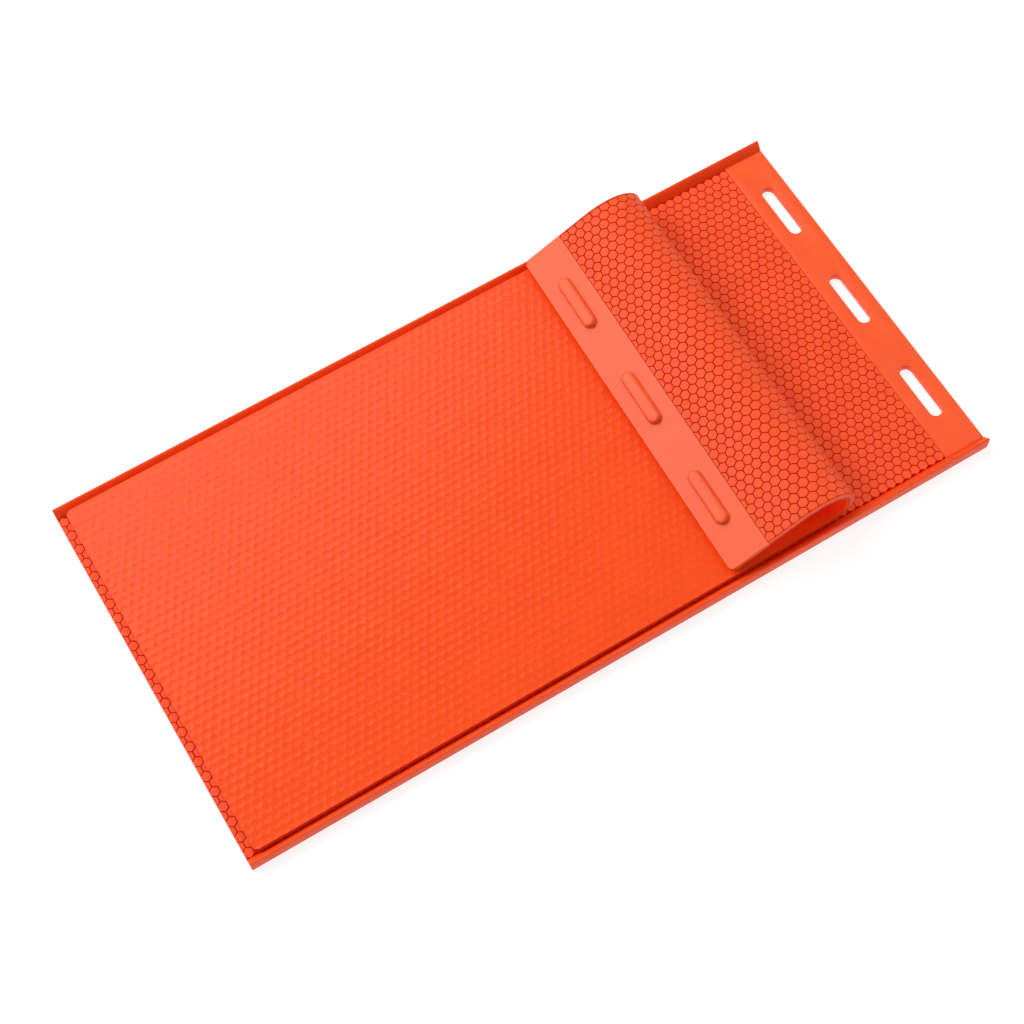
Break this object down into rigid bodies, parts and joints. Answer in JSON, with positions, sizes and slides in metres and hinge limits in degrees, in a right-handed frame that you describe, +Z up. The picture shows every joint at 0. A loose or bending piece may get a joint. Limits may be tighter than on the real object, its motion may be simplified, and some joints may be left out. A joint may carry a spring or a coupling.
{
  "type": "two-piece moulded mat",
  "caption": "Thin rectangular base mat with raised side rails and a honeycomb nub face, and a cover mat folded back on it that locks into slots at one end.",
  "frame": {"origin": "on the surface that the mat lies on, under the middle of the base mat", "axes": "+X along the mat towards the slotted locking end, +Y across it towards the rail that the cover's fold leans to, +Z up"},
  "size_m": [0.3, 0.15, 0.0253],
  "materials": {
    "base_silicone": "satin moulded silicone, orange red",
    "cover_silicone": "satin moulded silicone, orange red, smooth outer face"
  },
  "bodies": {
    "base_mat": {"base_nub_field": "base_silicone", "base_lock_strip": "base_silicone", "base_rail_near": "base_silicone", "base_rail_far": "base_silicone"},
    "cover_panel": {"cover_panel": "cover_silicone"},
    "cover_slat_1": {"cover_slat_1": "cover_silicone"},
    "cover_slat_2": {"cover_slat_2": "cover_silicone"},
    "cover_slat_3": {"cover_slat_3": "cover_silicone"},
    "cover_slat_4": {"cover_slat_4": "cover_silicone"},
    "cover_slat_5": {"cover_slat_5": "cover_silicone"},
    "cover_slat_6": {"cover_slat_6": "cover_silicone"},
    "cover_slat_7": {"cover_slat_7": "cover_silicone"},
    "cover_free_end": {"cover_tail": "cover_silicone", "cover_lock_strip": "cover_silicone"}
  },
  "joints": [
    {"name": "cover_lift", "type": "slide", "parent": "base_mat", "child": "cover_panel", "axis": [0, 0, 1], "range_m": [0, 0.06]},
    {"name": "cover_fold", "type": "hinge", "parent": "cover_panel", "child": "cover_slat_1", "pos_m": [0.0837, -0.00003, 0.0058], "axis": [0.0105, 0.9999, 0], "range_deg": [0, 28]},
    {"name": "cover_flex_2", "type": "hinge", "parent": "cover_slat_1", "child": "cover_slat_2", "pos_m": [0.0881, -0.00007, 0.00818], "axis": [0.0105, 0.9999, 0], "range_deg": [0, 32.8]},
    {"name": "cover_flex_3", "type": "hinge", "parent": "cover_slat_2", "child": "cover_slat_3", "pos_m": [0.0905, -0.0001, 0.01257], "axis": [0.0105, 0.9999, 0], "range_deg": [0, 38.6]},
    {"name": "cover_flex_4", "type": "hinge", "parent": "cover_slat_3", "child": "cover_slat_4", "pos_m": [0.08971, -0.00009, 0.01751], "axis": [0.0105, 0.9999, 0], "range_deg": [0, 35]},
    {"name": "cover_flex_5", "type": "hinge", "parent": "cover_slat_4", "child": "cover_slat_5", "pos_m": [0.08626, -0.00005, 0.02112], "axis": [0.0105, 0.9999, 0], "range_deg": [0, 26.6]},
    {"name": "cover_flex_6", "type": "hinge", "parent": "cover_slat_5", "child": "cover_slat_6", "pos_m": [0.08154, 0, 0.02279], "axis": [0.0105, 0.9999, 0], "range_deg": [0, 20.6]},
    {"name": "cover_flex_7", "type": "hinge", "parent": "cover_slat_6", "child": "cover_slat_7", "pos_m": [0.07654, 0.00005, 0.02269], "axis": [0.0105, 0.9999, 0], "range_deg": [0, 15.3]},
    {"name": "cover_flex_8", "type": "hinge", "parent": "cover_slat_7", "child": "cover_free_end", "pos_m": [0.07175, 0.0001, 0.02128], "axis": [0.0105, 0.9999, 0], "range_deg": [0, 9.7]}
  ]
}
